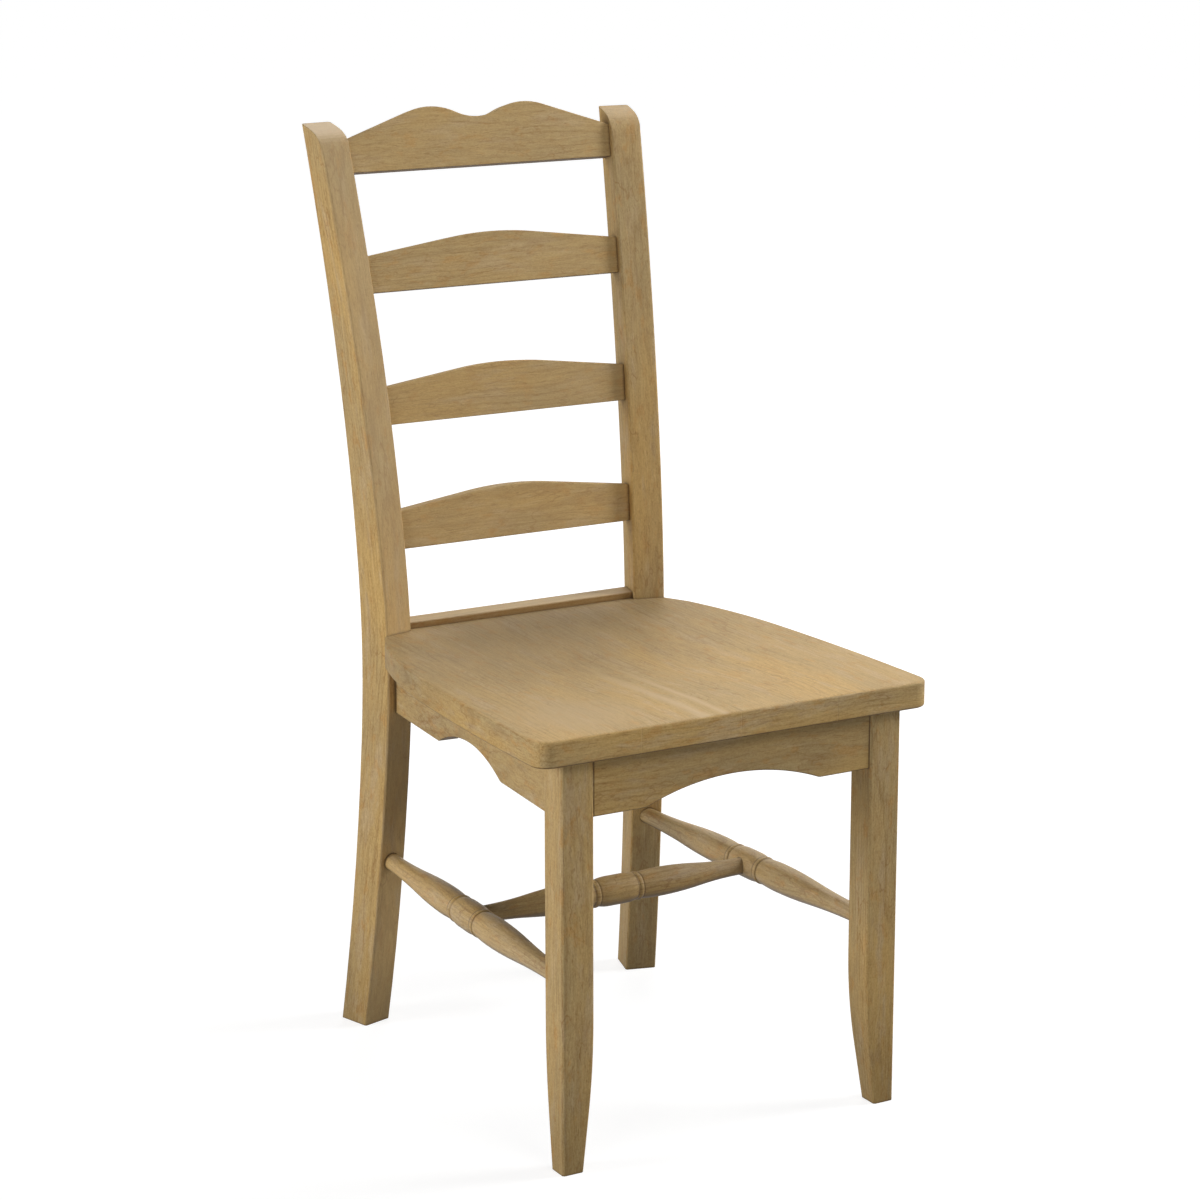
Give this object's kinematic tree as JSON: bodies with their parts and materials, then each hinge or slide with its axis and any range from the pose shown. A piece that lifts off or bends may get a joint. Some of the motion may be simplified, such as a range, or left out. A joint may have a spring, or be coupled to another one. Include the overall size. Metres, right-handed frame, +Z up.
{
  "type": "ladder-back dining chair",
  "caption": "Wooden ladder-back dining chair with a saddled seat, curved slats, a humped crest rail and turned stretchers in an H.",
  "frame": {"origin": "on the floor, under the middle of the chair's bounding box", "axes": "+X towards the right of someone who looks at the front of the chair, +Y from the front of the seat to the back, +Z up"},
  "size_m": [0.459, 0.5738, 1.0082],
  "materials": {
    "wood": "satin",
    "seat_wood": "satin",
    "hidden_wood": "matte",
    "steel": "brushed"
  },
  "bodies": {
    "root": {"rear_post_right": "wood", "rear_post_left": "wood", "front_leg_right": "wood", "front_leg_left": "wood", "lower_back_slat": "wood", "middle_back_slat": "wood", "upper_back_slat": "wood", "crest_rail": "wood", "seat_board_left": "seat_wood", "seat_board_centre_left": "seat_wood", "seat_board_centre_right": "seat_wood", "seat_board_right": "seat_wood", "front_apron": "wood", "side_apron_right": "wood", "side_apron_left": "wood", "rear_seat_rail": "wood", "side_stretcher_right": "wood", "side_stretcher_left": "wood", "cross_stretcher": "wood", "front_corner_block_right": "hidden_wood", "front_corner_block_left": "hidden_wood", "rear_corner_block_right": "hidden_wood", "rear_corner_block_left": "hidden_wood", "front_apron_dowels": "hidden_wood", "side_apron_dowels": "hidden_wood", "rear_rail_dowels": "hidden_wood", "corner_block_screws": "steel", "seat_screws": "steel"}
  },
  "joints": []
}
